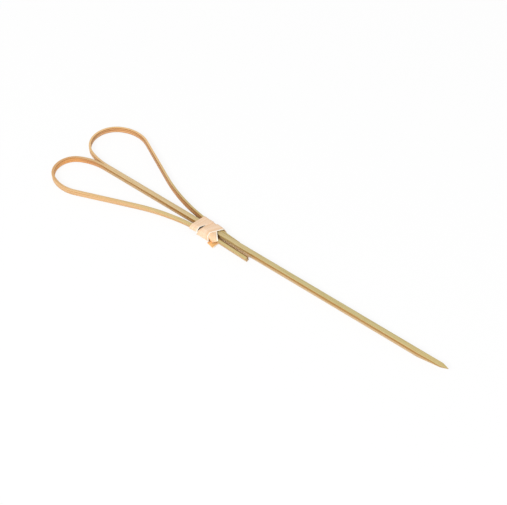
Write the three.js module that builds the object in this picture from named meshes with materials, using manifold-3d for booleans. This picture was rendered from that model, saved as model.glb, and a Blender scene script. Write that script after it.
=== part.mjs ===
// Bamboo heart pick: one flat bamboo stick, split from its blunt end into two halves. Each half is
// bent back beside the stem as one loop of a heart, and a strip of bamboo skin binds both ends.
//
// Millimetres and degrees. +X runs along the stem to the point, +Y to the wide loop, +Z up. While it
// is built, z = 0 is the stem's underside and y = 0 its centre line. Last, the whole part moves, so
// that the origin is under the middle of its box.
import * as THREE from 'three';
import { mergeVertices } from 'three/addons/utils/BufferGeometryUtils.js';
import Module from 'manifold-3d';

const wasm = await Module();
wasm.setup();

// Stick: the stem's section, its point, and the place where the two halves part.
const stick = {
  width: 1.6,
  height: 1.95,
  edgeBevel: 0.1,
  rootOverlap: 2,
  tipX: 73.4,
  pointLength: 2.3,
  pointOffset: -0.05,
  tipWidth: 0.12,
  undersideCut: 10.2,
  tipHeight: 0.12,
  splitX: -61.5,
};

// Near half: thicker than the other, it makes the narrow loop and ends in the long tail.
const nearHalf = {
  side: -1,
  thickness: 0.9,
  endThickness: 1.08,
  lean: 19,
  lead: 1.1,
  tailLean: 19,
  outBend: { radius: 18.5, turn: 29.4 },
  endBend: { radius: 6.85, turn: 126.3 },
  backBend: { radius: 12.3, turn: 46 },
  returnLength: 20.95,
  tieBend: { radius: 73, turn: 23.5 },
  settleBend: { radius: 300, turn: 0.2 },
  tailX: 0.95,
};

// Far half: thinner, it makes the wide loop and ends in a slanting cut just past the binding.
const farHalf = {
  side: 1,
  thickness: stick.width - nearHalf.thickness,
  endThickness: 0.74,
  lean: 12,
  lead: 0.1,
  tailLean: 0,
  outBend: { radius: 25.9, turn: 18.7 },
  endBend: { radius: 8.3, turn: 128 },
  backBend: { radius: 12.3, turn: 60.2 },
  returnLength: 19,
  tieBend: { radius: 66, turn: 23.1 },
  settleBend: { radius: 190, turn: 3.4 },
  tailX: -5,
};

// The far half's tail lies along the stem, past a narrow slit, from under the binding. The slanting
// cut begins where this share of the half's thickness is left, at the tail's root.
const farTail = { rootX: -12.5, rootOverlap: 1, shareLeft: 0.62, slit: 0.05 };

// Binding: one ribbon of bamboo skin, wound three times round the stem and both halves.
const tie = {
  width: 3.1,
  thickness: 0.2,
  clearance: 0.05,
  looseness: 0.12,
  bulgeAbove: 0.5,
  bulgeBelow: 2,
  cornerRadius: 0.45,
  layerStep: 0.22,
};

// Each turn: where the middle of the ribbon passes, from the near side over the top, and how far
// it bulges clear of the near half.
const firstTurn = { nearSide: -20.3, top: -19.8, farSide: -18.9, under: -18.2, bulge: 0.6 };
const secondTurn = { nearSide: -17, top: -16.5, farSide: -15.6, under: -15.6, bulge: 0.5 };
const thirdTurn = {
  nearSide: -15.5, overNear: -15.8, top: -15.9, overFar: -14.2, farSide: -12.5, under: -12.4,
  bulge: 0.45,
};

// The ribbon's last end comes out from under the third turn, and hangs over the near half. Each
// corner is a place along X and a share of a turn, and the cut end runs aslant.
const lastEnd = {
  rootLeft: -16.2, rootRight: -13.7, cutLeft: -12.9, cutRight: -10.4,
  bulge: 0.4,
};
const lastEndShares = { rootLeft: 0.21, rootRight: 0.3, cutLeft: -0.13, cutRight: 0.12 };

// Its first end shows below the near half, near the floor, and is cut aslant too.
const firstEnd = { left: -13.9, right: -10.9, reachLeft: 4.5, reachRight: 5.2, rise: 0.25 };

// Shares of a turn, counted from the middle of the near side.
const shareOf = { nearSide: 0, overNear: 0.17, top: 0.25, overFar: 0.34, farSide: 0.5, under: 0.75 };

// Curve quality: the distance under which two corners are one, the longest chord along a bend,
// and the steps round and across the ribbon.
const weld = 0.001;
const chord = 0.9;
const cornerSteps = 4;
const acrossSteps = 4;
const endSteps = 8;

const bamboo = new THREE.MeshStandardMaterial({ color: 0xcbbb88, roughness: 0.55, metalness: 0 });
const skin = new THREE.MeshStandardMaterial({ color: 0xf8dabc, roughness: 0.6, metalness: 0 });

const radians = THREE.MathUtils.degToRad;

// A closed geometry becomes a solid that can be joined and cut.
function solidOf(geometry) {
  const bare = geometry.clone();
  bare.deleteAttribute('normal');
  bare.deleteAttribute('uv');
  const merged = mergeVertices(bare, weld);
  return new wasm.Manifold(new wasm.Mesh({
    numProp: 3,
    vertProperties: new Float32Array(merged.attributes.position.array),
    triVerts: new Uint32Array(merged.index.array),
  }));
}

function geometryOf(solid) {
  const mesh = solid.getMesh();
  const geometry = new THREE.BufferGeometry();
  geometry.setAttribute('position', new THREE.BufferAttribute(mesh.vertProperties, 3));
  geometry.setIndex(new THREE.BufferAttribute(mesh.triVerts, 1));
  geometry.computeVertexNormals();
  return geometry;
}

// Joins rings of points into a closed skin. Each ring is convex and runs the same way round.
function loft(rings) {
  const count = rings[0].length;
  const positions = rings.flat().flatMap((p) => [p.x, p.y, p.z]);
  const index = [];
  for (let i = 0; i + 1 < rings.length; i += 1) {
    for (let j = 0; j < count; j += 1) {
      const a = i * count + j;
      const b = i * count + ((j + 1) % count);
      index.push(a, b, a + count, b, b + count, a + count);
    }
  }
  const last = (rings.length - 1) * count;
  for (let j = 1; j + 1 < count; j += 1) {
    index.push(0, j + 1, j);
    index.push(last, last + j, last + j + 1);
  }
  const geometry = new THREE.BufferGeometry();
  geometry.setAttribute('position', new THREE.Float32BufferAttribute(positions, 3));
  geometry.setIndex(index);
  const solid = solidOf(geometry);
  return solid.volume() < 0 ? solidOf(turnedOut(geometry)) : solid;
}

function turnedOut(geometry) {
  const index = geometry.index.array;
  for (let i = 0; i < index.length; i += 3) {
    [index[i + 1], index[i + 2]] = [index[i + 2], index[i + 1]];
  }
  return geometry;
}

// An outline in X and another axis, pushed through the stick along the third axis.
function cutter(points, turn) {
  const shape = new THREE.Shape(points.map(([u, v]) => new THREE.Vector2(u, v)));
  const depth = 4 * stick.height;
  const geometry = new THREE.ExtrudeGeometry(shape, { depth, bevelEnabled: false });
  geometry.translate(0, 0, -depth / 2);
  geometry.rotateX(radians(turn));
  return solidOf(geometry);
}

const bendsOf = (half) => [half.outBend, half.endBend, half.backBend];

// The half's centre line in plan: out of the stem, round the loop, and back beside the stem.
function routeOf(half) {
  const outer = half.side * stick.width / 2;
  const start = new THREE.Vector2(stick.splitX, outer - half.side * half.thickness / 2);
  const legs = [
    { length: half.lead },
    ...bendsOf(half).map((bend) => ({ ...bend, turn: -half.side * bend.turn })),
    { length: half.returnLength },
    { ...half.tieBend, turn: half.side * half.tieBend.turn },
    { ...half.settleBend, turn: half.side * half.settleBend.turn },
  ];
  const stations = [{ point: start, heading: Math.PI, travel: 0 }];
  const step = (length, turn) => {
    const from = stations[stations.length - 1];
    const middle = from.heading + turn / 2;
    const point = from.point.clone().add(new THREE.Vector2(Math.cos(middle), Math.sin(middle))
      .multiplyScalar(length));
    stations.push({ point, heading: from.heading + turn, travel: from.travel + length });
  };
  for (const leg of legs) {
    if (leg.length !== undefined) {
      step(leg.length, 0);
    } else {
      const pieces = Math.ceil(radians(Math.abs(leg.turn)) * leg.radius / chord);
      const turn = radians(leg.turn) / pieces;
      for (let i = 0; i < pieces; i += 1) {
        step(2 * leg.radius * Math.sin(Math.abs(turn) / 2), turn);
      }
    }
  }
  const end = stations[stations.length - 1];
  step((half.tailX - end.point.x) / Math.cos(end.heading), 0);
  return stations;
}

const arcLength = (bend) => radians(bend.turn) * bend.radius;

// How far the half has changed from its root, 0 at the loop's far end and 1 at the binding, and
// how far it has settled beyond the binding.
function changeAt(half, travel) {
  const [out, end, back] = bendsOf(half).map(arcLength);
  const from = half.lead + out + end / 2;
  const bound = half.lead + out + end + back + half.returnLength;
  const to = bound + arcLength(half.tieBend) / 2;
  const share = (low, high) => THREE.MathUtils.clamp((travel - low) / (high - low), 0, 1);
  return { change: share(from, to), settled: share(to, to + arcLength(half.tieBend) / 2) };
}

// The half's section at a station. It leans out at the top, and its lowest edge stays at z = 0.
function sectionAt(half, station) {
  const { change, settled } = changeAt(half, station.travel);
  const thickness = THREE.MathUtils.lerp(half.thickness, half.endThickness, change);
  const lean = radians(THREE.MathUtils.lerp(half.lean * change, half.tailLean, settled));
  const outward = new THREE.Vector2(-Math.sin(station.heading), Math.cos(station.heading))
    .multiplyScalar(half.side);
  const middle = (stick.height * Math.cos(lean) + thickness * Math.sin(lean)) / 2;
  return (across, up) => {
    const out = across * thickness / 2;
    const rise = up * stick.height / 2;
    const bevelled = (value, size) => value - Math.sign(value) * size;
    return (bevelAcross, bevelUp) => {
      const o = bevelled(out, bevelAcross);
      const r = bevelled(rise, bevelUp);
      const sideways = o * Math.cos(lean) + r * Math.sin(lean);
      return new THREE.Vector3(
        station.point.x + outward.x * sideways,
        station.point.y + outward.y * sideways,
        middle + r * Math.cos(lean) - o * Math.sin(lean),
      );
    };
  };
}

function ringAt(half, station) {
  const corner = sectionAt(half, station);
  const b = stick.edgeBevel;
  return [
    corner(1, 1)(0, b), corner(1, 1)(b, 0),
    corner(-1, 1)(b, 0), corner(-1, 1)(0, b),
    corner(-1, -1)(0, b), corner(-1, -1)(b, 0),
    corner(1, -1)(b, 0), corner(1, -1)(0, b),
  ];
}

function makeHalf(half) {
  const stations = routeOf(half);
  const root = { ...stations[0], point: stations[0].point.clone().add(new THREE.Vector2(stick.rootOverlap, 0)) };
  return loft([root, ...stations].map((station) => ringAt(half, station)));
}

// The stem is a bevelled bar, sharpened in plan at the very end and cut up from below before it.
function makeStem() {
  const w = stick.width / 2;
  const h = stick.height;
  const b = stick.edgeBevel;
  const ring = (x) => [
    [w, h - b], [w - b, h], [b - w, h], [-w, h - b],
    [-w, b], [b - w, 0], [w - b, 0], [w, b],
  ].map(([y, z]) => new THREE.Vector3(x, y, z));
  const bar = loft([ring(stick.splitX - nearHalf.lead), ring(stick.tipX + 1)]);
  const { tipX, pointLength, pointOffset, tipWidth, undersideCut, tipHeight, splitX } = stick;
  const beyond = 2 * stick.width;
  const plan = cutter([
    [splitX - beyond, -beyond], [tipX - pointLength - beyond, -beyond],
    [tipX - pointLength, -w], [tipX, pointOffset - tipWidth / 2],
    [tipX, pointOffset + tipWidth / 2], [tipX - pointLength, w],
    [tipX - pointLength - beyond, beyond], [splitX - beyond, beyond],
  ], 0);
  const below = cutter([
    [tipX - undersideCut, 0], [tipX, h - tipHeight],
    [tipX + beyond, h - tipHeight], [tipX + beyond, -h], [tipX - undersideCut, -h],
  ], 90);
  return bar.intersect(plan).subtract(below);
}

function makeStick() {
  const near = makeHalf(nearHalf);
  const far = makeHalf(farHalf);
  const inner = stick.width / 2 + farTail.slit;
  const { rootX, rootOverlap } = farTail;
  const beyond = 3 * stick.width;
  const from = rootX - farHalf.tailX + rootX;
  const past = farHalf.tailX + stick.width;
  const outside = cutter([
    [rootX, farLimitAt(rootX)], [from, farLimitAt(from)], [from, beyond], [past, beyond],
    [past, -beyond], [rootX, -beyond],
  ], 0);
  const tail = cutter([
    [farHalf.tailX, inner], [rootX - rootOverlap, farLimitAt(rootX - rootOverlap)],
    [rootX - rootOverlap, inner],
  ], 0);
  const slab = solidOf(new THREE.BoxGeometry(stick.tipX, beyond, stick.height)
    .translate(farHalf.tailX, 0, stick.height / 2));
  return makeStem().add(near).add(far.subtract(outside)).add(tail.intersect(slab));
}

// The half's section where it passes x on its way back beside the stem.
function returnAt(half, x) {
  const stations = routeOf(half);
  const next = stations.findLastIndex((station) => station.point.x < x) + 1;
  const [a, b] = [stations[next - 1], stations[Math.min(next, stations.length - 1)]];
  const share = b === a ? 0 : (x - a.point.x) / (b.point.x - a.point.x);
  const mix = (from, to) => THREE.MathUtils.lerp(from, to, share);
  return sectionAt(half, {
    point: a.point.clone().lerp(b.point, share),
    heading: mix(a.heading, b.heading),
    travel: mix(a.travel, b.travel),
  });
}

// How far out the far half's slanting cut leaves it at x.
function farLimitAt(x) {
  const inner = stick.width / 2 + farTail.slit;
  const left = returnAt(farHalf, farTail.rootX)(2 * farTail.shareLeft - 1, 0)(0, 0).y;
  const share = Math.max(0, farHalf.tailX - x) / (farHalf.tailX - farTail.rootX);
  return inner + Math.max(left - inner, farTail.slit) * share;
}

// The outline of the bundle at x, seen along the stem: up the near side, over, and down. The
// ribbon lies tight below, and stands clear of the top and of the near side.
function bundleAt(x, bulge) {
  const near = returnAt(nearHalf, x);
  const far = returnAt(farHalf, x);
  const at = (corner, out, up) => {
    const sharp = corner(0, 0);
    return new THREE.Vector2(Math.min(sharp.y, farLimitAt(x)) + out, sharp.z + up);
  };
  const loose = tie.looseness;
  const above = -bulge * tie.bulgeAbove;
  return [
    at(near(1, -1), -bulge * tie.bulgeBelow, 0), at(near(1, 1), above, loose),
    at(near(-1, 1), above, loose),
    at(far(-1, 1), 0, loose), at(far(1, 1), loose, loose), at(far(1, -1), loose, 0),
  ];
}

// One round of the bundle's outline, moved out and rounded: places with their outward normals.
function roundAt(x, bulge, offset) {
  const corners = bundleAt(x, bulge);
  const count = corners.length;
  const edges = corners.map((corner, k) => {
    const along = corners[(k + 1) % count].clone().sub(corner).normalize();
    return { along, normal: new THREE.Vector2(-along.y, along.x) };
  });
  const places = [];
  for (let k = 0; k < count; k += 1) {
    const [before, after] = [edges[(k + count - 1) % count], edges[k]];
    const half = before.along.angleTo(after.along) / 2;
    const bisector = before.normal.clone().add(after.normal).normalize();
    const reach = (offset - tie.cornerRadius) / Math.cos(half);
    const centre = corners[k].clone().addScaledVector(bisector, reach);
    for (let j = 0; j <= cornerSteps; j += 1) {
      const turn = half * (1 - (2 * j) / cornerSteps);
      const normal = bisector.clone().rotateAround(new THREE.Vector2(), turn);
      places.push({ point: centre.clone().addScaledVector(normal, tie.cornerRadius), normal });
    }
  }
  return places;
}

// The share of a turn passed at each place, 0 at the middle of the near side.
function sharesOf(places) {
  const box = new THREE.Box2().setFromPoints(places.map((place) => place.point));
  const middle = box.getCenter(new THREE.Vector2());
  const size = box.getSize(new THREE.Vector2());
  const shares = places.map(({ point }) => {
    const across = (point.x - middle.x) / size.x;
    const up = (point.y - middle.y) / size.y;
    return Math.atan2(up, -across) / (2 * Math.PI);
  });
  return shares.map((share, i) => (i > places.length / 2 && share < 0 ? share + 1 : share));
}

// A place on the ribbon's middle surface, at x and a share of a turn, with its outward normal.
function wrapAt(x, share, bulge, offset) {
  const places = roundAt(x, bulge, offset);
  const shares = sharesOf(places);
  const whole = Math.floor(share - shares[0]);
  const within = share - whole;
  const next = shares.findIndex((value) => value > within);
  const after = next < 0 ? 0 : next;
  const before = (after + places.length - 1) % places.length;
  const low = shares[before];
  const high = shares[after] + (next < 0 ? 1 : 0);
  const mix = (within - low) / (high - low);
  const point = places[before].point.clone().lerp(places[after].point, mix);
  const normal = places[before].normal.clone().lerp(places[after].normal, mix).normalize();
  return {
    point: new THREE.Vector3(x, point.x, point.y),
    normal: new THREE.Vector3(0, normal.x, normal.y),
  };
}

// A closed sheet from rows of places with normals, half its thickness out on each side of them.
function sheet(rows) {
  const across = rows[0].length;
  const sides = [0.5, -0.5].map((side) => rows.flat().map(({ point, normal }) => point.clone()
    .addScaledVector(normal, side * tie.thickness)));
  const positions = sides.flat().flatMap((p) => [p.x, p.y, p.z]);
  const under = rows.length * across;
  const index = [];
  const quad = (a, b, c, d) => index.push(a, b, c, a, c, d);
  for (let i = 0; i + 1 < rows.length; i += 1) {
    for (let j = 0; j + 1 < across; j += 1) {
      const a = i * across + j;
      quad(a, a + 1, a + across + 1, a + across);
      quad(under + a, under + a + across, under + a + across + 1, under + a + 1);
    }
    const [left, right] = [i * across, (i + 1) * across - 1];
    quad(left, left + across, under + left + across, under + left);
    quad(right, under + right, under + right + across, right + across);
  }
  for (let j = 0; j + 1 < across; j += 1) {
    const last = (rows.length - 1) * across + j;
    quad(j, under + j, under + j + 1, j + 1);
    quad(last, last + 1, under + last + 1, under + last);
  }
  const geometry = new THREE.BufferGeometry();
  geometry.setAttribute('position', new THREE.Float32BufferAttribute(positions, 3));
  geometry.setIndex(index);
  const solid = solidOf(geometry);
  return solid.volume() < 0 ? solidOf(turnedOut(geometry)) : solid;
}

const offsetOf = (layer) => tie.clearance + tie.thickness / 2 + layer * tie.layerStep;
const shareSteps = (count) => Array.from({ length: count + 1 }, (_, i) => i / count);

// The ribbon's route, as places in order: turns passed, x, the layers under it, and the bulge.
const route = [firstTurn, secondTurn, thirdTurn].flatMap((turn, passed) => Object.keys(shareOf)
  .filter((key) => key in turn)
  .map((key) => ({
    turns: passed + shareOf[key],
    x: turn[key],
    layer: turn === thirdTurn && key !== 'under' ? 1 : 0,
    bulge: turn.bulge,
  })));

function routeAt(turns) {
  const next = route.findIndex((place) => place.turns > turns);
  const after = next < 0 ? route.length - 1 : Math.max(next, 1);
  const [a, b] = [route[after - 1], route[after]];
  const share = THREE.MathUtils.clamp((turns - a.turns) / (b.turns - a.turns), 0, 1);
  const mix = (key) => THREE.MathUtils.lerp(a[key], b[key], share);
  return { x: mix('x'), layer: mix('layer'), bulge: mix('bulge') };
}

// One turn of the ribbon, from one place of its route to another.
function makeTurn(from, to) {
  const shares = sharesOf(roundAt(firstTurn.top, firstTurn.bulge, offsetOf(0)));
  const passed = [0, 1, 2, 3].flatMap((turn) => shares.map((share) => turn + share));
  const inside = passed.filter((turns) => turns > from && turns < to);
  return sheet([from, ...inside, to].map((turns) => {
    const { x, layer, bulge } = routeAt(turns);
    return shareSteps(acrossSteps).map((side) => (
      wrapAt(x + (side - 0.5) * tie.width, turns, bulge, offsetOf(layer))));
  }));
}

// The last end, from its root under the third turn to its slanting cut over the near half.
function makeLastEnd() {
  const mix = THREE.MathUtils.lerp;
  const shares = lastEndShares;
  return sheet(shareSteps(endSteps).map((along) => {
    const left = { x: mix(lastEnd.rootLeft, lastEnd.cutLeft, along),
      share: mix(shares.rootLeft, shares.cutLeft, along) };
    const right = { x: mix(lastEnd.rootRight, lastEnd.cutRight, along),
      share: mix(shares.rootRight, shares.cutRight, along) };
    return shareSteps(endSteps).map((side) => wrapAt(
      mix(left.x, right.x, side),
      mix(left.share, right.share, side),
      lastEnd.bulge,
      offsetOf(0),
    ));
  }));
}

// The first end runs on from the underside of the third turn, out past the near half.
function makeFirstEnd() {
  const mix = THREE.MathUtils.lerp;
  const root = wrapAt(thirdTurn.under, shareOf.under, 0, offsetOf(0)).point;
  return sheet(shareSteps(endSteps).map((along) => shareSteps(acrossSteps).map((side) => {
    const reach = mix(firstEnd.reachLeft, firstEnd.reachRight, side);
    const point = new THREE.Vector3(
      mix(firstEnd.left, firstEnd.right, side),
      mix(root.y, -reach, along),
      root.z + firstEnd.rise * along ** 2,
    );
    return { point, normal: new THREE.Vector3(0, 0, 1) };
  })));
}

function makeTie() {
  const last = 2 + shareOf.under;
  return wasm.Manifold.union([
    makeTurn(0, 1), makeTurn(1, 2), makeTurn(2, last), makeLastEnd(), makeFirstEnd(),
  ]);
}

// Welded in its last place, the solid keeps no closed space inside.
function filled(solid) {
  const shells = solidOf(geometryOf(solid)).decompose();
  return wasm.Manifold.union(shells.filter((shell) => shell.volume() > 0));
}

// The origin goes under the middle of the part's box.
const solids = [makeStick(), makeTie()];
const whole = new THREE.Box3().setFromPoints(solids.flatMap((solid) => {
  const { min, max } = solid.boundingBox();
  return [new THREE.Vector3(...min), new THREE.Vector3(...max)];
}));
const middle = whole.getCenter(new THREE.Vector3());
const [stickSolid, tieSolid] = solids.map((solid) => (
  filled(solid.translate([-middle.x, -middle.y, -whole.min.z]))));

const part = new THREE.Group();
part.name = 'bamboo_heart_pick';
const stickMesh = new THREE.Mesh(geometryOf(stickSolid), bamboo);
stickMesh.name = 'split_stick';
part.add(stickMesh);
const tieMesh = new THREE.Mesh(geometryOf(tieSolid), skin);
tieMesh.name = 'skin_tie';
part.add(tieMesh);

export default part;
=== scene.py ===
import math

import bpy
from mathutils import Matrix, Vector


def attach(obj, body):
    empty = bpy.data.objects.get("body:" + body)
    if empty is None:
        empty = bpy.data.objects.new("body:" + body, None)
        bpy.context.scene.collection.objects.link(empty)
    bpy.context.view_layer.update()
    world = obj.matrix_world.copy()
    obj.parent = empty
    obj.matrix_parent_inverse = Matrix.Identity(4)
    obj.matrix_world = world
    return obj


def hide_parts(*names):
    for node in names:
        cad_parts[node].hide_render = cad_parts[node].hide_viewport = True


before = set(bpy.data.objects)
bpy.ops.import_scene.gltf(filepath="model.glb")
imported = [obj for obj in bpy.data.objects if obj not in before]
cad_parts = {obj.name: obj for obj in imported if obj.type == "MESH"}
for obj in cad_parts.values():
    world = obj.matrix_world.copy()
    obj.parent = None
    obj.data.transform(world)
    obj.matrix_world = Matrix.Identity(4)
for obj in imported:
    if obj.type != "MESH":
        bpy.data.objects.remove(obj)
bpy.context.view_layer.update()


# Stem
# The unsplit length of a strip of pale bamboo wood, sawn along the grain, from the place where
# the two halves part to the point. It is pared up from below over the last centimetre, and
# nipped to a point at the very end.

# sizes are in millimetres, and places count from the middle line of the stem's underside, with
# x = 0 just short of the near tail's end
STOCK_WIDTH = 1.6
STOCK_HEIGHT = 1.95
EDGE = 0.1
SPLIT_X = -61.5
TIP_X = 73.4
STEM_SLICES = 150
CROWDED_LENGTH = 20
CROWDING = 2.2
POINT_LENGTH = 2.3
POINT_OFFSET = -0.05
POINT_WIDTH = 0.12
PARED_LENGTH = 10.2
POINT_HEIGHT = 0.12
# what is added to a place to get it in the frame, whose origin is under the middle of the pick
TO_FRAME = Vector((1.24661, -1.23507, 0.34481))
# faces that meet at less than this are shaded as one smooth surface
WOOD_SMOOTH_ANGLE = math.radians(42)

# the wood's colours by place in the straight strip, where the tail ends at about -160, the loops
# lie between -118 and -66, and the stem starts at -61.5
COLOURS_FROM = -170
COLOURS_TO = 80
STEM_FACE = [
    (-60, (228, 199, 154)), (-54, (222, 195, 150)), (-42, (220, 194, 149)),
    (-30, (215, 191, 145)), (-20, (211, 190, 142)), (0, (207, 189, 138)),
    (20, (205, 191, 139)), (50, (204, 188, 134)), (70, (210, 190, 133)),
]
NEAR_FACE = [
    (-150, (199, 180, 125)), (-128, (207, 184, 131)), (-108, (224, 188, 136)),
    (-97, (227, 190, 140)), (-88, (218, 173, 121)), (-76, (216, 166, 113)),
    (-66, (222, 188, 140)),
] + STEM_FACE
FAR_FACE = [
    (-150, (199, 180, 125)), (-128, (214, 190, 134)), (-108, (239, 198, 142)),
    (-97, (243, 202, 148)), (-88, (242, 202, 146)), (-76, (240, 198, 142)),
    (-66, (230, 194, 146)),
] + STEM_FACE
# on the bark sides the loops are browner, partly in the wood's own colour and partly as painted
# shade; the near half's bright stops at -84 and -74 are painted light on the inside of its loop,
# which is turned from the lamp
NEAR_BARK_SIDE = [
    (-150, (214, 186, 138)), (-134, (208, 160, 106)), (-110, (226, 166, 108)),
    (-84, (250, 196, 130)), (-74, (238, 180, 116)), (-68, (216, 158, 104)),
    (-58, (206, 178, 138)),
]
FAR_BARK_SIDE = [
    (-150, (214, 186, 138)), (-134, (205, 156, 104)), (-110, (205, 159, 108)),
    (-90, (226, 176, 124)), (-70, (234, 192, 146)), (-58, (208, 180, 141)),
]
SPLIT_SIDE = [
    (-150, (214, 184, 136)), (-130, (226, 190, 142)), (-112, (234, 196, 150)),
    (-97, (226, 186, 138)), (-84, (228, 188, 144)), (-60, (232, 198, 156)),
]

# tints that the wood's colour is multiplied by
STREAK_TINT = (0.93, 0.91, 0.86, 1)
BUNDLE_TINT = (0.86, 0.77, 0.60, 1)
BAND_TINT = (0.66, 0.47, 0.19, 1)
# painted light on the band beside the near tail
BAND_TINT_LIT_BESIDE_TAIL = (0.58, 0.54, 0.33, 1)
CORNER_TINT = (0.7, 0.58, 0.4, 1)
BARK_LAYER_TINT = (0.64, 0.44, 0.26, 1)
SPLIT_LAYER_TINT = (0.82, 0.68, 0.48, 1)
# painted shadow along the near tail's edge beside the stem
TAIL_SHADOW_TINT = (0.38, 0.24, 0.11, 1)
# the colour of the painted light on the stem's side beside the near tail, and of the painted shade
# on the wood under the binding
PAINTED_LIGHT_BESIDE_TAIL = (255, 226, 188)
PAINTED_SHADE_UNDER_BINDING = (0.10, 0.07, 0.04, 1)

LAYER_PITCH = 0.85
LAYER_PHASE = -2.5
BAND_WANDER = 0.9
CORNER_ON_SPLIT_SIDE = 0.2
CORNER_MORE_ON_BARK = 0.3
CORNER_MORE_ON_FAR_BARK = 0.45
# where the patterns fade in and out across the strip, up it and along it
NEAR_TO_FAR = (-0.1, 0.1)
SPLIT_TO_BARK = (0.5, 0.7)
TAIL_SHADOW_ACROSS = (-0.44, -0.62)
SIDE_TO_TOP = (1.82, 1.92)
TOP_TO_SIDE = SIDE_TO_TOP[::-1]
BAND_UP = ((1.0, 1.8), (2.2, 2.55))
CORNER_UP = (1.4, 2.05)
LOOP_TO_STEM = (-72, -60)
STEM_TO_LOOP = LOOP_TO_STEM[::-1]
LAYERS_ALONG = (-62, -70)
LIT_BESIDE_TAIL = ((-15, -10), (-2, 1.8))
TAIL_SHADOW_ALONG = (-140, -147)
# and along the frame, in metres, for the painted shade under the binding
SHADE_UNDER_BINDING_ALONG = ((-0.0190, -0.0184), (-0.0148, -0.0142))


def srgb(red, green, blue):
    """A colour as picked from a picture, 0 to 255, as the linear values that a shader takes."""
    values = [c / 255 for c in (red, green, blue)]
    return [c / 12.92 if c <= 0.04045 else ((c + 0.055) / 1.055) ** 2.4 for c in values] + [1]


def feed(tree, value, socket):
    """Leads a socket into another one, or sets that one to a fixed value."""
    if isinstance(value, bpy.types.NodeSocket):
        tree.links.new(value, socket)
    else:
        socket.default_value = value


def maths(tree, operation, *values):
    """One sum with sockets and fixed values."""
    node = tree.nodes.new("ShaderNodeMath")
    node.operation = operation
    for value, socket in zip(values, node.inputs):
        feed(tree, value, socket)
    return node.outputs[0]


def ramp(tree, value, low, high, smooth=True):
    """A value as a share of the way from low to high, held between 0 and 1."""
    node = tree.nodes.new("ShaderNodeMapRange")
    node.interpolation_type = "SMOOTHSTEP" if smooth else "LINEAR"
    for name, given in (("Value", value), ("From Min", low), ("From Max", high)):
        feed(tree, given, node.inputs[name])
    return node.outputs["Result"]


def all_of(tree, *masks):
    """A mask that is 1 only where each of the given ones is."""
    product = masks[0]
    for mask in masks[1:]:
        product = maths(tree, "MULTIPLY", product, mask)
    return product


def within(tree, value, rise, fall):
    """A mask that fades in over the rise and out over the fall."""
    return all_of(tree, ramp(tree, value, rise[0], rise[1]), ramp(tree, value, fall[1], fall[0]))


def mixed(tree, factor, first, second, blend="MIX"):
    """A mix of two colours."""
    node = tree.nodes.new("ShaderNodeMix")
    node.data_type = "RGBA"
    node.blend_type = blend
    # a mix of colours has its own sockets, after those for numbers and vectors
    for value, number in ((factor, 0), (first, 6), (second, 7)):
        feed(tree, value, node.inputs[number])
    return node.outputs[2]


def tinted(tree, mask, colour, tint):
    """A colour multiplied by a tint, as far as the mask says."""
    return mixed(tree, mask, colour, tint, "MULTIPLY")


def new_material(name):
    """A material, its node tree and its shader."""
    material = bpy.data.materials.new(name)
    material.use_nodes = True
    return material, material.node_tree, material.node_tree.nodes["Principled BSDF"]


def parts_of(tree, vector):
    """The three numbers of a vector."""
    node = tree.nodes.new("ShaderNodeSeparateXYZ")
    tree.links.new(vector, node.inputs[0])
    return node.outputs


def place_in_strip(tree):
    """Each corner's place in the straight strip, so that a pattern follows every bend."""
    node = tree.nodes.new("ShaderNodeAttribute")
    node.attribute_name = "fibre_place"
    return node.outputs["Vector"]


def place_in_frame(tree):
    """The place in the frame, in metres, along, across and up."""
    node = tree.nodes.new("ShaderNodeTexCoord")
    return parts_of(tree, node.outputs["Object"])


def fibre_group():
    """Noise drawn out along the grain: thin dark bundles, broad soft streaks, and their height."""
    streak_width, streak_length = 4, 3
    bundle_fade = 0.16
    streak_height = 0.6
    group = bpy.data.node_groups.new("bamboo_fibres", "ShaderNodeTree")
    face = group.interface
    face.new_socket("Place", in_out="INPUT", socket_type="NodeSocketVector")
    for name, value in (("Bundle Width", 0.14), ("Bundle Length", 5.0), ("Bundle Share", 0.5)):
        face.new_socket(name, in_out="INPUT", socket_type="NodeSocketFloat").default_value = value
    for name in ("Bundles", "Streaks", "Height"):
        face.new_socket(name, in_out="OUTPUT", socket_type="NodeSocketFloat")
    given = group.nodes.new("NodeGroupInput").outputs
    result = group.nodes.new("NodeGroupOutput").inputs

    def stretched(width, length, detail):
        size = group.nodes.new("ShaderNodeCombineXYZ")
        for axis, value in (("X", length), ("Y", width), ("Z", width)):
            feed(group, value, size.inputs[axis])
        share = group.nodes.new("ShaderNodeVectorMath")
        share.operation = "DIVIDE"
        feed(group, given["Place"], share.inputs[0])
        feed(group, size.outputs[0], share.inputs[1])
        noise = group.nodes.new("ShaderNodeTexNoise")
        noise.inputs["Scale"].default_value = 1
        noise.inputs["Detail"].default_value = detail
        noise.inputs["Roughness"].default_value = 0.55
        feed(group, share.outputs[0], noise.inputs["Vector"])
        return noise.outputs["Fac"]

    width, length, share = given["Bundle Width"], given["Bundle Length"], given["Bundle Share"]
    thin = stretched(width, length, 2)
    broad = stretched(maths(group, "MULTIPLY", width, streak_width),
                      maths(group, "MULTIPLY", length, streak_length), 1)
    edge_shade = ramp(group, thin, share, maths(group, "ADD", share, bundle_fade))
    height = maths(group, "MULTIPLY_ADD", broad, streak_height, thin)
    for name, value in (("Bundles", edge_shade), ("Streaks", broad), ("Height", height)):
        feed(group, value, result[name])
    return group


bamboo_fibres = fibre_group()


def fibres_into(tree, place, width, length, share):
    """Places the fibre group in a material and returns its bundles, streaks and height."""
    node = tree.nodes.new("ShaderNodeGroup")
    node.node_tree = bamboo_fibres
    feed(tree, place, node.inputs["Place"])
    feed(tree, width, node.inputs["Bundle Width"])
    feed(tree, length, node.inputs["Bundle Length"])
    feed(tree, share, node.inputs["Bundle Share"])
    return [node.outputs[name] for name in ("Bundles", "Streaks", "Height")]


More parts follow.
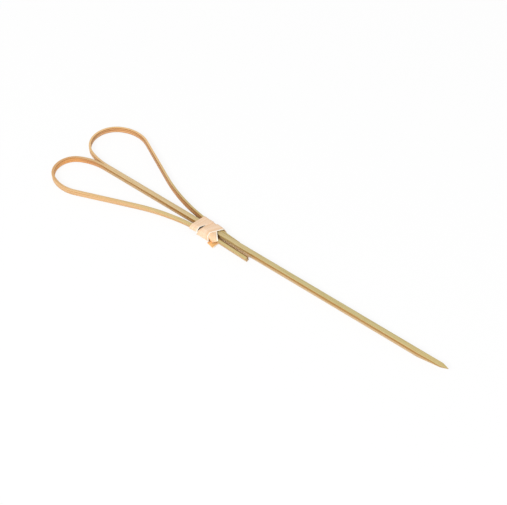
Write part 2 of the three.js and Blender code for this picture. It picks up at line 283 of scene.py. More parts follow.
def rough_and_raised(tree, shader, height, depth, roughness):
    """Bump from the fibres' height, and a roughness that varies with it."""
    lowest, highest = 0.5, 1.1
    spread = 0.08
    bump = tree.nodes.new("ShaderNodeBump")
    bump.inputs["Strength"].default_value = 1
    bump.inputs["Distance"].default_value = depth
    feed(tree, height, bump.inputs["Height"])
    feed(tree, bump.outputs[0], shader.inputs["Normal"])
    share = ramp(tree, height, lowest, highest, smooth=False)
    varied = maths(tree, "MULTIPLY_ADD", share, 2 * spread, roughness - spread)
    feed(tree, varied, shader.inputs["Roughness"])


def by_length(tree, along, stops):
    """A colour that changes along the strip, by stops of a place and a picked colour."""
    node = tree.nodes.new("ShaderNodeValToRGB")
    feed(tree, ramp(tree, along, COLOURS_FROM, COLOURS_TO, smooth=False), node.inputs[0])
    elements = node.color_ramp.elements
    placed = [((at - COLOURS_FROM) / (COLOURS_TO - COLOURS_FROM), srgb(*colour))
              for at, colour in stops]
    for element, (share, colour) in zip(elements, (placed[0], placed[-1])):
        element.position = share
        element.color = colour
    for share, colour in placed[1:-1]:
        elements.new(share).color = colour
    return node.outputs[0]


def bamboo_wood():
    """Pale wood with thin brown fibres. The bent halves are warmer than the stem."""
    material, tree, shader = new_material("bamboo_wood")
    place = place_in_strip(tree)
    along, across, up = parts_of(tree, place)
    bundles, streaks, height = fibres_into(tree, place, width=0.13, length=6.0, share=0.52)

    # across is below 0 in the near half and above 0 in the far one, furthest from 0 at the bark
    far_side = ramp(tree, across, *NEAR_TO_FAR)
    bark = ramp(tree, maths(tree, "ABSOLUTE", across), *SPLIT_TO_BARK)
    wide_face = mixed(tree, far_side, by_length(tree, along, NEAR_FACE),
                      by_length(tree, along, FAR_FACE))
    bark_side = mixed(tree, far_side, by_length(tree, along, NEAR_BARK_SIDE),
                      by_length(tree, along, FAR_BARK_SIDE))
    side = mixed(tree, bark, by_length(tree, along, SPLIT_SIDE), bark_side)

    # a dark band of crowded fibres runs along each side of the stem, high up, and wanders a
    # little; beside the near tail the side is painted paler and the band greener, as painted light
    # where the tail keeps the light off the side
    lit_beside_tail = within(tree, along, *LIT_BESIDE_TAIL)
    side = mixed(tree, lit_beside_tail, side, srgb(*PAINTED_LIGHT_BESIDE_TAIL))
    drift = maths(tree, "MULTIPLY_ADD", streaks, BAND_WANDER, up)
    band = all_of(tree, within(tree, drift, *BAND_UP), ramp(tree, along, *LOOP_TO_STEM))
    side = tinted(tree, band, side, mixed(tree, lit_beside_tail, BAND_TINT, BAND_TINT_LIT_BESIDE_TAIL))

    # in the loops it is a thin line under the top edge, plainest on the far half's bark side
    on_bark = maths(tree, "MULTIPLY_ADD", far_side, CORNER_MORE_ON_FAR_BARK, CORNER_MORE_ON_BARK)
    plain = maths(tree, "MULTIPLY_ADD", on_bark, bark, CORNER_ON_SPLIT_SIDE)
    corner = all_of(tree, ramp(tree, drift, *CORNER_UP), ramp(tree, along, *STEM_TO_LOOP), plain)
    side = tinted(tree, corner, side, CORNER_TINT)
    colour = mixed(tree, ramp(tree, up, *SIDE_TO_TOP), side, wide_face)

    # the grain, on the face and the sides
    colour = tinted(tree, ramp(tree, streaks, 0.65, 0.35), colour, STREAK_TINT)
    colour = tinted(tree, bundles, colour, BUNDLE_TINT)

    # the bent sides show the sawn layers as two or three long lines
    layer = maths(tree, "MULTIPLY_ADD", drift, 2 * math.pi / LAYER_PITCH, LAYER_PHASE)
    lines = all_of(tree, ramp(tree, maths(tree, "SINE", layer), 0.3, 0.95),
                   ramp(tree, along, *LAYERS_ALONG), ramp(tree, up, *TOP_TO_SIDE))
    colour = tinted(tree, lines, colour, mixed(tree, bark, SPLIT_LAYER_TINT, BARK_LAYER_TINT))

    # painted shadow: the near tail is painted dark along its edge beside the stem, as the shadow
    # in the narrow gap between them
    tail_shadow = all_of(tree, ramp(tree, across, *TAIL_SHADOW_ACROSS),
                       ramp(tree, along, *TAIL_SHADOW_ALONG))
    colour = tinted(tree, tail_shadow, colour, TAIL_SHADOW_TINT)

    # painted shade: the wood under the binding is painted dark, where the slits under the loose
    # turns lie in deep shade
    frame_x = place_in_frame(tree)[0]
    shade_under_binding = within(tree, frame_x, *SHADE_UNDER_BINDING_ALONG)
    colour = mixed(tree, shade_under_binding, colour, PAINTED_SHADE_UNDER_BINDING)
    feed(tree, colour, shader.inputs["Base Color"])
    shader.inputs["Specular IOR Level"].default_value = 0.35
    rough_and_raised(tree, shader, height, depth=0.00004, roughness=0.52)
    return material


wood = bamboo_wood()


def select_only(piece):
    bpy.ops.object.select_all(action="DESELECT")
    piece.select_set(True)
    bpy.context.view_layer.objects.active = piece


def straight_bar(name, length, width, height, slices):
    """A bar from x = 0, cut into slices, with its four long edges eased."""
    bpy.ops.object.select_all(action="DESELECT")
    bpy.ops.mesh.primitive_cube_add(size=1, location=(0, 0, 0))
    bar = bpy.context.object
    bar.name = name

    def select_long_edges():
        bpy.ops.mesh.select_all(action="DESELECT")
        bpy.ops.object.mode_set(mode="OBJECT")
        for edge in bar.data.edges:
            a, b = (bar.data.vertices[i].co for i in edge.vertices)
            edge.select = abs(a.x - b.x) > length / 2
        bpy.ops.object.mode_set(mode="EDIT")

    bpy.ops.object.mode_set(mode="EDIT")
    bpy.ops.mesh.select_mode(type="EDGE")
    bpy.ops.mesh.select_all(action="SELECT")
    bpy.ops.transform.translate(value=(0.5, 0, 0))
    bpy.ops.transform.resize(value=(length, width, height), center_override=(0, 0, 0))
    select_long_edges()
    bpy.ops.mesh.bevel(offset=EDGE, segments=3, profile=0.5)
    select_long_edges()
    bpy.ops.mesh.subdivide(number_cuts=slices - 1)
    bpy.ops.object.mode_set(mode="OBJECT")
    return bar


def keep_fibres(piece, place):
    """Stores each corner's place in the straight strip, before the piece is shaped."""
    fibres = piece.data.attributes.new("fibre_place", "FLOAT_VECTOR", "POINT")
    for vertex, kept in zip(piece.data.vertices, fibres.data):
        kept.vector = place(vertex.co)


def set_in_frame(piece, material, smooth_angle):
    """Millimetres become metres in the frame, and the piece takes its material and shading."""
    for vertex in piece.data.vertices:
        vertex.co = (vertex.co + TO_FRAME) / 1000
    piece.data.materials.clear()
    piece.data.materials.append(material)
    select_only(piece)
    bpy.ops.object.mode_set(mode="EDIT")
    bpy.ops.mesh.select_all(action="SELECT")
    bpy.ops.mesh.normals_make_consistent(inside=False)
    bpy.ops.object.mode_set(mode="OBJECT")
    bpy.ops.object.shade_smooth_by_angle(angle=smooth_angle)


def finish_stick_piece(piece):
    set_in_frame(piece, wood, WOOD_SMOOTH_ANGLE)
    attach(piece, "root")


def share_from(value, low, high):
    """How far a value is on the way from low to high, from 0 to 1."""
    return min(max((value - low) / (high - low), 0), 1)


stem = straight_bar("stem", TIP_X - SPLIT_X, STOCK_WIDTH, STOCK_HEIGHT, STEM_SLICES)
for vertex in stem.data.vertices:
    vertex.co += Vector((SPLIT_X, 0, STOCK_HEIGHT / 2))
    # the slices crowd together over the pointed end
    beyond = share_from(vertex.co.x, TIP_X - CROWDED_LENGTH, TIP_X)
    vertex.co.x += CROWDING * beyond * (1 - beyond)
keep_fibres(stem, lambda co: co)
for vertex in stem.data.vertices:
    nipped = share_from(vertex.co.x, TIP_X - POINT_LENGTH, TIP_X)
    share = 1 - nipped * (1 - POINT_WIDTH / STOCK_WIDTH)
    vertex.co.y = vertex.co.y * share + POINT_OFFSET * nipped
    pared = share_from(vertex.co.x, TIP_X - PARED_LENGTH, TIP_X)
    floor_height = pared * (STOCK_HEIGHT - POINT_HEIGHT)
    vertex.co.z = floor_height + vertex.co.z * (1 - floor_height / STOCK_HEIGHT)
finish_stick_piece(stem)
# with the halves and the tail that follow, it stands for the whole of the CAD stick
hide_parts("split_stick")


# Bent halves
# Each half of the split end is steamed, bent round its loop and led back beside the stem to the
# binding, which holds it there. It leans out at the top on its way back. The near one is the
# thicker, and goes on past the binding to a square cut.

BEND_STEP = 0.45
HALF_SLICES = 260


class Half:
    """A half's sizes, and the way that they give it. A bend is a radius and a turn in degrees."""

    def __init__(self, side, thickness, end_thickness, lean, tail_lean, lead, bends, back,
                 tie_bend, settle_bend, tail_x):
        self.side = side
        self.thickness = thickness
        self.end_thickness = end_thickness
        self.lean = lean
        self.tail_lean = tail_lean
        self.lead = lead
        self.bends = bends
        self.back = back
        self.tie_bend = tie_bend
        self.settle_bend = settle_bend
        self.tail_x = tail_x
        arcs = [math.radians(turn) * radius for radius, turn in bends]
        bound = lead + sum(arcs) + back
        tie_arc = math.radians(tie_bend[1]) * tie_bend[0]
        self.change_from = lead + arcs[0] + arcs[1] / 2
        self.change_to = bound + tie_arc / 2
        self.settled_at = bound + tie_arc
        self.line = self.route()

    def route(self):
        """Points of the centre line in plan, with heading and travel."""
        x, y = SPLIT_X, self.side * (STOCK_WIDTH - self.thickness) / 2
        heading, travel = math.pi, 0.0
        line = [(x, y, heading, travel)]

        def step(length, turn):
            nonlocal x, y, heading, travel
            middle = heading + turn / 2
            x += math.cos(middle) * length
            y += math.sin(middle) * length
            heading += turn
            travel += length
            line.append((x, y, heading, travel))

        def bend(radius, turn, sense):
            pieces = math.ceil(math.radians(turn) * radius / BEND_STEP)
            each = math.radians(turn) / pieces
            for _ in range(pieces):
                step(2 * radius * math.sin(each / 2), sense * each)

        step(self.lead, 0)
        for radius, turn in self.bends:
            bend(radius, turn, -self.side)
        step(self.back, 0)
        bend(*self.tie_bend, self.side)
        bend(*self.settle_bend, self.side)
        step((self.tail_x - x) / math.cos(heading), 0)
        return line

    def section(self, travel):
        """Thickness and lean at a distance along the half."""
        change = share_from(travel, self.change_from, self.change_to)
        settled = share_from(travel, self.change_to, self.settled_at)
        thickness = self.thickness + (self.end_thickness - self.thickness) * change
        lean = self.lean * change
        lean += (self.tail_lean - lean) * settled
        return thickness, math.radians(lean)

    def travel_at(self, x):
        """The distance along at which the half passes x on its way back."""
        later = max(i for i, p in enumerate(self.line) if p[0] < x) + 1
        later = min(later, len(self.line) - 1)
        a, b = self.line[later - 1], self.line[later]
        return a[3] + (x - a[0]) / (b[0] - a[0]) * (b[3] - a[3])

    def placed(self, travel, out, rise):
        """The point at a distance along, out from the centre line and up from mid-height."""
        later = next((i for i, p in enumerate(self.line) if p[3] >= travel), len(self.line) - 1)
        later = max(later, 1)
        a, b = self.line[later - 1], self.line[later]
        share = (travel - a[3]) / (b[3] - a[3])
        x, y, heading = (a[i] + (b[i] - a[i]) * share for i in range(3))
        thickness, lean = self.section(travel)
        middle = (STOCK_HEIGHT * math.cos(lean) + thickness * math.sin(lean)) / 2
        sideways = out * math.cos(lean) + rise * math.sin(lean)
        return Vector((
            x - math.sin(heading) * self.side * sideways,
            y + math.cos(heading) * self.side * sideways,
            middle + rise * math.cos(lean) - out * math.sin(lean),
        ))


near_half = Half(
    side=-1, thickness=0.9, end_thickness=1.08, lean=19, tail_lean=19, lead=1.1,
    bends=[(18.5, 29.4), (6.85, 126.3), (12.3, 46)], back=20.95,
    tie_bend=(73, 23.5), settle_bend=(300, 0.2), tail_x=0.95,
)
far_half = Half(
    side=1, thickness=0.7, end_thickness=0.74, lean=12, tail_lean=0, lead=0.1,
    bends=[(25.9, 18.7), (8.3, 128), (12.3, 60.2)], back=19,
    tie_bend=(66, 23.1), settle_bend=(190, 3.4), tail_x=-5,
)

# where the binding hides it, the far half starts to be pared down in a slant, and a narrow slit
# parts it from the stem
TAIL_ROOT = -12.5
TAIL_TO = -5.0
TAIL_SLIT = 0.05
TAIL_SHARE = 0.62
# past these places the far half is beside the stem again, and gives way to its tail
RETURNED_X = -20
FAR_HALF_TO = TAIL_ROOT - 0.1


def far_limit(x):
    """How far out the far half's slanting cut leaves it at x."""
    inner = STOCK_WIDTH / 2 + TAIL_SLIT
    travel = far_half.travel_at(TAIL_ROOT)
    left = far_half.placed(travel, (TAIL_SHARE - 0.5) * far_half.section(travel)[0], 0).y
    return inner + (left - inner) * max(0, TAIL_TO - x) / (TAIL_TO - TAIL_ROOT)


def bent_half(name, half, stop):
    """A straight strip bent along a half's way, up to where it passes the stop."""
    length = half.travel_at(stop)
    strip = straight_bar(name, length, half.thickness, STOCK_HEIGHT, HALF_SLICES)
    centre = half.side * (STOCK_WIDTH - half.thickness) / 2
    # left of the way it travels is towards -Y at its root
    keep_fibres(strip, lambda co: (SPLIT_X - co.x, centre - half.side * co.y,
                                   co.z + STOCK_HEIGHT / 2))
    for vertex in strip.data.vertices:
        travel, out, rise = vertex.co
        thickness, _ = half.section(travel)
        vertex.co = half.placed(travel, out * thickness / half.thickness, rise)
        if half.side > 0 and vertex.co.x > RETURNED_X:
            vertex.co.y = min(vertex.co.y, far_limit(vertex.co.x))
    finish_stick_piece(strip)


bent_half("near_half", near_half, near_half.tail_x)
bent_half("far_half", far_half, FAR_HALF_TO)


# Far half's tail
# The far half ends just past the binding. It is cut there in a long slant, so that only a sliver
# of it lies against the stem.

TAIL_FROM = -13.5
TAIL_SLICES = 24
THINNEST = 0.02
# the piece of the strip that the sliver's grain is taken from
TAIL_GRAIN_FROM = -165
TAIL_GRAIN_MIDDLE = 0.3
TAIL_GRAIN_WIDTH = 0.3

tail = straight_bar("far_tail", TAIL_TO - TAIL_FROM, 1, STOCK_HEIGHT, TAIL_SLICES)
keep_fibres(tail, lambda co: (TAIL_GRAIN_FROM + co.x, TAIL_GRAIN_MIDDLE + TAIL_GRAIN_WIDTH * co.y,
                              co.z + STOCK_HEIGHT / 2))
# the bar is 1 wide, and is narrowed to what the slant leaves at each place
for vertex in tail.data.vertices:
    vertex.co.x += TAIL_FROM
    inner = STOCK_WIDTH / 2 + TAIL_SLIT
    widest = max(far_limit(vertex.co.x) - inner, THINNEST)
    vertex.co.y = inner + (vertex.co.y + 0.5) * widest
    vertex.co.z += STOCK_HEIGHT / 2
finish_stick_piece(tail)


# Binding
# A ribbon peeled from the culm's green skin, soaked, and wound three times round the stem and
# both halves. The third turn lies partly over the second, and friction alone holds it.

RIBBON_WIDTH = 3.1
RIBBON_THICKNESS = 0.2
CLEARANCE = 0.05
LOOSENESS = 0.12
# how far a turn stands off the near half at the top and at the bottom, as shares of its bulge
BULGE_ABOVE = 0.5
BULGE_BELOW = 2
CORNER_RADIUS = 0.45
LAYER_RISE = 0.22
CORNER_STEPS = 6
ACROSS_STEPS = 8
WORN_EDGE = 0.05
SKIN_SMOOTH_ANGLE = math.radians(50)
CROWN = 0.2
WANDER = 0.05
WANDER_RATE = 5.1
WANDER_START = 7
# how far the first two turns part over the near half and close up over the far one, and between
# which shares of a turn
PARTED_NEAR = 0.32
PARTED_BETWEEN = (0.08, 0.29)
CLOSED_FAR = 0.09
CLOSED_FROM = (0.26, 0.32)
CLOSED_TO = (0.62, 0.56)
SPLINTER_BETWEEN = (0.28, 0.46)
SPLINTER_REACH = 0.9
SPLINTER_RISE = 0.2
SPLINTER_GRAIN = 0.35
# the length of ribbon that its grain counts for a turn
TURN_GRAIN = 13
# how far in from an edge its colour starts, and where it is full
HIGHLIGHT_FROM, HIGHLIGHT_FULL = 0.42, 0.14
EDGE_SHADE_FROM, EDGE_SHADE_FULL = 0.75, 0.2
# the grain of the two short ends lies past that of the three turns, and their colours start there
ENDS_SHADED = (47, 64)
ENDS_EDGE_SHADE = (46, 49)

# picked colours of the skin
SKIN_DARK_STREAK = (238, 200, 162)
SKIN_PALE_STREAK = (246, 216, 186)
SKIN_ENDS_SHADED = (245, 197, 130)
SKIN_FIBRE = (236, 194, 152)
# a painted highlight on the one edge, and painted shade on the other
SKIN_EDGE_HIGHLIGHT = (255, 246, 232)
SKIN_EDGE_SHADE = (238, 176, 112)


def skin_of_bamboo():
    """Pale, faintly glossy skin with fine fibres, and one edge painted almost white as a
    highlight.
    """
    material, tree, shader = new_material("bamboo_skin")
    place = place_in_strip(tree)
    along, across, _ = parts_of(tree, place)
    bundles, streaks, height = fibres_into(tree, place, width=0.16, length=7.0, share=0.55)
    edge = RIBBON_WIDTH / 2
    colour = mixed(tree, ramp(tree, streaks, 0.3, 0.7), srgb(*SKIN_DARK_STREAK),
                   srgb(*SKIN_PALE_STREAK))
    # the two ends are painted warmer, the lower end most, as painted shade where the tucked end
    # and the bundle shade it
    colour = mixed(tree, ramp(tree, along, *ENDS_SHADED), colour, srgb(*SKIN_ENDS_SHADED))
    colour = mixed(tree, bundles, colour, srgb(*SKIN_FIBRE))
    # painted highlight: the skin is painted paler towards one edge, almost white, where its thin
    # rim catches the light
    edge_highlight = ramp(tree, across, edge - HIGHLIGHT_FROM, edge - HIGHLIGHT_FULL)
    colour = mixed(tree, edge_highlight, colour, srgb(*SKIN_EDGE_HIGHLIGHT))
    # painted shade: the other edge is painted darker at the two ends, where they come out from
    # under the third turn
    other_edge = ramp(tree, across, -edge + EDGE_SHADE_FROM, -edge + EDGE_SHADE_FULL)
    edge_shade = all_of(tree, other_edge, ramp(tree, along, *ENDS_EDGE_SHADE))
    colour = mixed(tree, edge_shade, colour, srgb(*SKIN_EDGE_SHADE))
    feed(tree, colour, shader.inputs["Base Color"])
    shader.inputs["Specular IOR Level"].default_value = 0.4
    rough_and_raised(tree, shader, height, depth=0.00003, roughness=0.48)
    return material


skin = skin_of_bamboo()


def returned(half, x):
    """The half's four sharp corners where it passes x on its way back, by (across, up)."""
    travel = half.travel_at(x)
    thickness, _ = half.section(travel)
    return lambda across, up: half.placed(travel, across * thickness / 2, up * STOCK_HEIGHT / 2)


def bundle(x, bulge):
    """Corners of the bundle at x, seen along the stem: up the near side, over, and down."""
    near, far = returned(near_half, x), returned(far_half, x)

    def corner(sharp, out, up):
        return Vector((min(sharp.y, far_limit(x)) + out, sharp.z + up))

    above = -bulge * BULGE_ABOVE
    return [
        corner(near(1, -1), -bulge * BULGE_BELOW, 0), corner(near(1, 1), above, LOOSENESS),
        corner(near(-1, 1), above, LOOSENESS), corner(far(-1, 1), 0, LOOSENESS),
        corner(far(1, 1), LOOSENESS, LOOSENESS), corner(far(1, -1), LOOSENESS, 0),
    ]


def turned(vector, angle):
    c, s = math.cos(angle), math.sin(angle)
    return Vector((vector.x * c - vector.y * s, vector.x * s + vector.y * c))


def rounded(x, bulge, offset):
    """The bundle's outline moved out and rounded, as places with outward normals."""
    corners = bundle(x, bulge)
    edges = []
    for k, corner in enumerate(corners):
        along = (corners[(k + 1) % len(corners)] - corner).normalized()
        edges.append((along, Vector((-along.y, along.x))))
    places = []
    for k, corner in enumerate(corners):
        before, after = edges[k - 1], edges[k]
        half = math.acos(min(1, max(-1, before[0].dot(after[0])))) / 2
        bisector = (before[1] + after[1]).normalized()
        centre = corner + bisector * ((offset - CORNER_RADIUS) / math.cos(half))
        for j in range(CORNER_STEPS + 1):
            normal = turned(bisector, half * (1 - 2 * j / CORNER_STEPS))
            places.append((centre + normal * CORNER_RADIUS, normal))
    return places


def shares_of(places):
    """The share of a turn passed at each place, 0 at the middle of the near side."""
    ys = [p.x for p, _ in places]
    zs = [p.y for p, _ in places]
    middle = ((min(ys) + max(ys)) / 2, (min(zs) + max(zs)) / 2)
    size = (max(ys) - min(ys), max(zs) - min(zs))
    shares = []
    for number, (p, _) in enumerate(places):
        across, up = (p.x - middle[0]) / size[0], (p.y - middle[1]) / size[1]
        share = math.atan2(up, -across) / (2 * math.pi)
        shares.append(share + 1 if number > len(places) / 2 and share < 0 else share)
    return shares


def wrapped(x, share, bulge, offset):
    """A place on the ribbon's middle surface, at x and a share of a turn, and its normal."""
    places = rounded(x, bulge, offset)
    shares = shares_of(places)
    passed = share - math.floor(share - shares[0])
    after = next((i for i, value in enumerate(shares) if value > passed), 0)
    before = (after - 1) % len(places)
    low = shares[before]
    high = shares[after] + (1 if after == 0 else 0)
    mix = (passed - low) / (high - low)
    point = places[before][0].lerp(places[after][0], mix)
    normal = places[before][1].lerp(places[after][1], mix).normalized()
    return Vector((x, point.x, point.y)), Vector((0, normal.x, normal.y))


# the share of a turn at each side of the bundle, and x there and the bulge for each turn
SHARE = {"near": 0, "over_near": 0.17, "top": 0.25, "over_far": 0.34, "far": 0.5, "under": 0.75}
TURNS = [
    ({"near": -20.3, "top": -19.8, "far": -18.9, "under": -18.2}, 0.6),
    ({"near": -17, "top": -16.5, "far": -15.6, "under": -15.6}, 0.5),
    ({"near": -15.5, "over_near": -15.8, "top": -15.9, "over_far": -14.2, "far": -12.5,
      "under": -12.4}, 0.45),
]
ROUTE = []
for passed, (turn, bulge) in enumerate(TURNS):
    for side, x in turn.items():
        # the third turn lies on the second until it goes under the bundle
        layer = 1 if passed == 2 and side != "under" else 0
        ROUTE.append((passed + SHARE[side], x, layer, bulge))


def eased(values, at, share):
    """Smooth way through four neighbouring values (a Catmull-Rom curve)."""
    p0, p1, p2, p3 = (values[min(max(at + i, 0), len(values) - 1)] for i in (-1, 0, 1, 2))
    return 0.5 * (2 * p1 + (p2 - p0) * share + (2 * p0 - 5 * p1 + 4 * p2 - p3) * share ** 2
                  + (3 * p1 - p0 - 3 * p2 + p3) * share ** 3)


def route_at(turns):
    """The ribbon's middle x, its layer and its bulge after a number of turns."""
    after = next((i for i, place in enumerate(ROUTE) if place[0] > turns), len(ROUTE) - 1)
    after = max(after, 1)
    a, b = ROUTE[after - 1], ROUTE[after]
    share = share_from(turns, a[0], b[0])
    x = eased([place[1] for place in ROUTE], after - 1, share)
    return x, a[2] + (b[2] - a[2]) * share, a[3] + (b[3] - a[3]) * share


def offset_of(layer):
    """How far the ribbon's middle surface lies off the wood."""
    return CLEARANCE + RIBBON_THICKNESS / 2 + layer * LAYER_RISE


def ribbon(name, rows, places):
    """A thin sheet through rows of points, given its thickness, with softly worn edges."""
    down, across = len(rows), len(rows[0])
    bpy.ops.object.select_all(action="DESELECT")
    bpy.ops.mesh.primitive_grid_add(x_subdivisions=down - 1, y_subdivisions=across - 1, size=2)
    piece = bpy.context.object
    piece.name = name
    fibres = piece.data.attributes.new("fibre_place", "FLOAT_VECTOR", "POINT")
    for number, vertex in enumerate(piece.data.vertices):
        i = round((vertex.co.x + 1) / 2 * (down - 1))
        j = round((vertex.co.y + 1) / 2 * (across - 1))
        vertex.co = rows[i][j]
        fibres.data[number].vector = places[i][j]
    thick = piece.modifiers.new("thickness", "SOLIDIFY")
    thick.thickness = RIBBON_THICKNESS
    thick.offset = 0
    bpy.ops.object.modifier_apply(modifier="thickness")
    worn = piece.modifiers.new("worn_edges", "BEVEL")
    worn.width = WORN_EDGE
    worn.segments = 3
    worn.limit_method = "ANGLE"
    worn.angle_limit = SKIN_SMOOTH_ANGLE
    bpy.ops.object.modifier_apply(modifier="worn_edges")
    set_in_frame(piece, skin, SKIN_SMOOTH_ANGLE)
    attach(piece, "root")
    return piece


def parted(turns, side):
    """The first two turns part over the near half, and close up again over the far one."""
    over_near = math.sin(math.pi * share_from(turns % 1, *PARTED_BETWEEN)) ** 2
    over_far = share_from(turns % 1, *CLOSED_FROM) * share_from(turns % 1, *CLOSED_TO)
    apart = PARTED_NEAR * over_near - CLOSED_FAR * over_far
    if turns < 1:
        return -apart * max(0, 2 * side)
    return apart * max(0, -2 * side) if turns < 2 else 0


def splinter(turns, side):
    """A splinter of the first turn's torn edge, which laps over the second on the far side."""
    raised = math.sin(math.pi * share_from(turns, *SPLINTER_BETWEEN)) ** 2
    return max(0, 2 * side) ** 2 * raised


def winding(name, start, stop):
    """The ribbon from one number of turns to another."""
    first_route, first_bulge = TURNS[0]
    shares = shares_of(rounded(first_route["top"], first_bulge, offset_of(0)))
    passed = [turn + share for turn in range(len(TURNS)) for share in shares]
    stops = [start] + [value for value in passed if start < value < stop] + [stop]
    rows, places = [], []
    for turns in stops:
        x, layer, bulge = route_at(turns)
        row, kept = [], []
        for j in range(ACROSS_STEPS + 1):
            side = j / ACROSS_STEPS - 0.5
            point, normal = wrapped(x + side * RIBBON_WIDTH, turns, bulge, offset_of(layer))
            # the ribbon keeps a little of the culm's roundness, and its edges wander a little
            crown = -CROWN * side * side * max(0, normal.z)
            wander = WANDER * math.sin(WANDER_RATE * turns + WANDER_START) * abs(side) * 2
            lap = splinter(turns, side)
            along = wander + parted(turns, side) + SPLINTER_REACH * lap
            row.append(point + normal * (crown + SPLINTER_RISE * lap) + Vector((along, 0, 0)))
            kept.append((turns * TURN_GRAIN, side * RIBBON_WIDTH - SPLINTER_GRAIN * lap, 0))
        rows.append(row)
        places.append(kept)
    return ribbon(name, rows, places)


first_turn = winding("binding_first_turn", 0, 1)
winding("binding_second_turn", 1, 2)
winding("binding_third_turn", 2, 2.75)
# with the other turns and the two ends that follow, it stands for the whole of the CAD binding
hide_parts("skin_tie")


# Tucked end of the binding
# The ribbon's last end comes up from under the third turn and is pulled down over the near half.
# It is cut there in a slant.

END_ROWS = 16
# x and the share of a turn at the corners of its root and of its cut
ROOT_LEFT, ROOT_RIGHT = (-16.2, 0.21), (-13.7, 0.3)
CUT_LEFT, CUT_RIGHT = (-12.9, -0.13), (-10.4, 0.12)
TUCKED_BULGE = 0.4
TUCKED_GRAIN_FROM = 50
TUCKED_GRAIN = 2


def ribbon_end(name, place, grain_from, grain):
    """A short end of the ribbon, from its place at each share of its length and width."""
    rows, places = [], []
    for i in range(END_ROWS + 1):
        down = i / END_ROWS
        sides = [j / ACROSS_STEPS for j in range(ACROSS_STEPS + 1)]
        rows.append([place(down, side) for side in sides])
        places.append([(grain_from + down * grain, (side - 0.5) * RIBBON_WIDTH, 0)
                       for side in sides])
    ribbon(name, rows, places)


def between(first, second, share):
    return [a + (b - a) * share for a, b in zip(first, second)]


def over_near_half(down, side):
    left = between(ROOT_LEFT, CUT_LEFT, down)
    right = between(ROOT_RIGHT, CUT_RIGHT, down)
    x, share = between(left, right, side)
    return wrapped(x, share, TUCKED_BULGE, offset_of(0))[0]


ribbon_end("binding_tucked_end", over_near_half, TUCKED_GRAIN_FROM, TUCKED_GRAIN)


# Lower end of the binding
# The ribbon's first end, which the turns hold against the underside. It runs out past the near
# half from under the third turn, and rises a little.

UNDER_LEFT, UNDER_RIGHT = -13.9, -10.9
REACH_LEFT, REACH_RIGHT = 4.5, 5.2
RISE = 0.25
LOWER_GRAIN_FROM = 60
LOWER_GRAIN = 5

lower_root = wrapped(TURNS[2][0]["under"], SHARE["under"], 0, offset_of(0))[0]


def below_near_half(out, side):
    reach = REACH_LEFT + (REACH_RIGHT - REACH_LEFT) * side
    return Vector((
        UNDER_LEFT + (UNDER_RIGHT - UNDER_LEFT) * side,
        lower_root.y + (-reach - lower_root.y) * out,
        lower_root.z + RISE * out * out,
    ))


ribbon_end("binding_lower_end", below_near_half, LOWER_GRAIN_FROM, LOWER_GRAIN)


# Table
# A matt white board just below the pick. Its white is held up for the camera alone, so that it
# keeps the shadow. The strip of it that shows between the stem and the near tail is painted brown
# and glows brown, as painted shade.

TABLE_SIZE = 4
TABLE_DROP = 0.0002
WHITE = (1, 1, 1, 1)
GAP_PAINTED_SHADE = (0.63, 0.41, 0.22, 1)
# where the gap's painted shade fades in and out along the frame and across it, in metres
GAP_ALONG = ((-0.0125, -0.0115), (0.0006, 0.0018))
GAP_ACROSS = ((-0.0022, -0.0020), (-0.0010, -0.0004))
HELD_UP = 0.88


def table_white():
    material, tree, shader = new_material("table_top")
    shader.inputs["Roughness"].default_value = 0.9
    shader.inputs["Specular IOR Level"].default_value = 0
    x, y, _ = place_in_frame(tree)
    in_painted_shade = all_of(tree, within(tree, x, *GAP_ALONG), within(tree, y, *GAP_ACROSS))
    colour = mixed(tree, in_painted_shade, WHITE, GAP_PAINTED_SHADE)
    glow = tree.nodes.new("ShaderNodeEmission")
    glow.inputs["Strength"].default_value = 1
    path = tree.nodes.new("ShaderNodeLightPath")
    blended = tree.nodes.new("ShaderNodeMixShader")
    feed(tree, colour, shader.inputs["Base Color"])
    feed(tree, colour, glow.inputs["Color"])
    held = maths(tree, "MULTIPLY", path.outputs["Is Camera Ray"], HELD_UP)
    for number, socket in enumerate((held, shader.outputs[0], glow.outputs[0])):
        feed(tree, socket, blended.inputs[number])
    feed(tree, blended.outputs[0], tree.nodes["Material Output"].inputs["Surface"])
    return material


bpy.ops.object.select_all(action="DESELECT")
bpy.ops.mesh.primitive_plane_add(size=TABLE_SIZE, location=(0, 0, -TABLE_DROP))
table = bpy.context.object
table.name = "table"
table.data.materials.append(table_white())


# White tent
# A tent of thin white cloth round the table, which lights the pick softly from all sides. The
# camera and the reflections see it as plain white.

TENT_LIGHT = 0.61

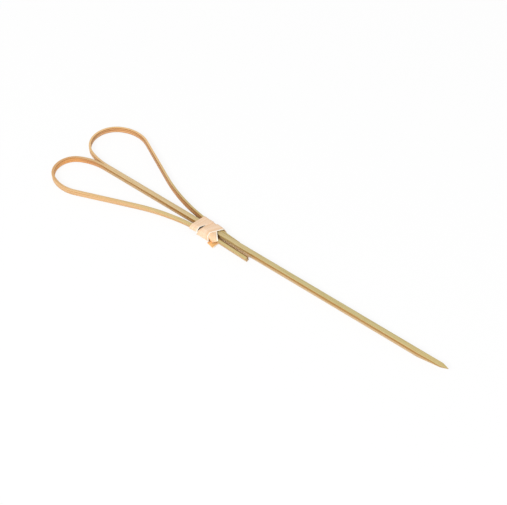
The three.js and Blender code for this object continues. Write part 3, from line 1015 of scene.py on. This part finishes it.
world = bpy.data.worlds.new("white_tent")
bpy.context.scene.world = world
world.use_nodes = True
tree = world.node_tree
cloth = tree.nodes["Background"]
cloth.inputs["Color"].default_value = WHITE
path = tree.nodes.new("ShaderNodeLightPath")
seen = maths(tree, "MAXIMUM", path.outputs["Is Camera Ray"], path.outputs["Is Glossy Ray"])
feed(tree, maths(tree, "MULTIPLY_ADD", seen, 1 - TENT_LIGHT, TENT_LIGHT), cloth.inputs["Strength"])


# Lamp
# One round lamp with a soft white front, above the near side. It gives the tops their light and
# the table the pick's faint shadow.

LAMP_PLACE = (0.1, -0.68, 0.64)
LAMP_WIDTH = 0.35
LAMP_POWER = 5.0

light = bpy.data.lights.new("key", "AREA")
light.shape = "DISK"
light.size = LAMP_WIDTH
light.energy = LAMP_POWER
lamp = bpy.data.objects.new("key", light)
bpy.context.collection.objects.link(lamp)
lamp.location = LAMP_PLACE
lamp.rotation_euler = Vector(LAMP_PLACE).to_track_quat("Z", "Y").to_euler()


# Camera
# It stands above the near side, towards the point, as the photograph's did. Its focal length is
# in the photograph's pixels, and so is the width.

FOCAL_LENGTH = 1300
PICTURE_WIDTH = 507
SENSOR_WIDTH = 36
CAMERA_ROUND = math.radians(39.29)
CAMERA_UP = math.radians(46.5)
CAMERA_DISTANCE = 0.40625
AIM_ACROSS = 1.548

aim = Vector((TO_FRAME.x, TO_FRAME.y + AIM_ACROSS, TO_FRAME.z)) / 1000
back = Vector((
    math.sin(CAMERA_ROUND) * math.cos(CAMERA_UP),
    -math.cos(CAMERA_ROUND) * math.cos(CAMERA_UP),
    math.sin(CAMERA_UP),
))
lens = bpy.data.cameras.new("camera")
lens.lens = FOCAL_LENGTH / PICTURE_WIDTH * SENSOR_WIDTH
lens.sensor_width = SENSOR_WIDTH
lens.clip_start = 0.01
camera = bpy.data.objects.new("camera", lens)
bpy.context.collection.objects.link(camera)
camera.location = aim + back * CAMERA_DISTANCE
camera.rotation_euler = back.to_track_quat("Z", "Y").to_euler()
bpy.context.scene.camera = camera
bpy.context.scene.view_settings.view_transform = "Standard"
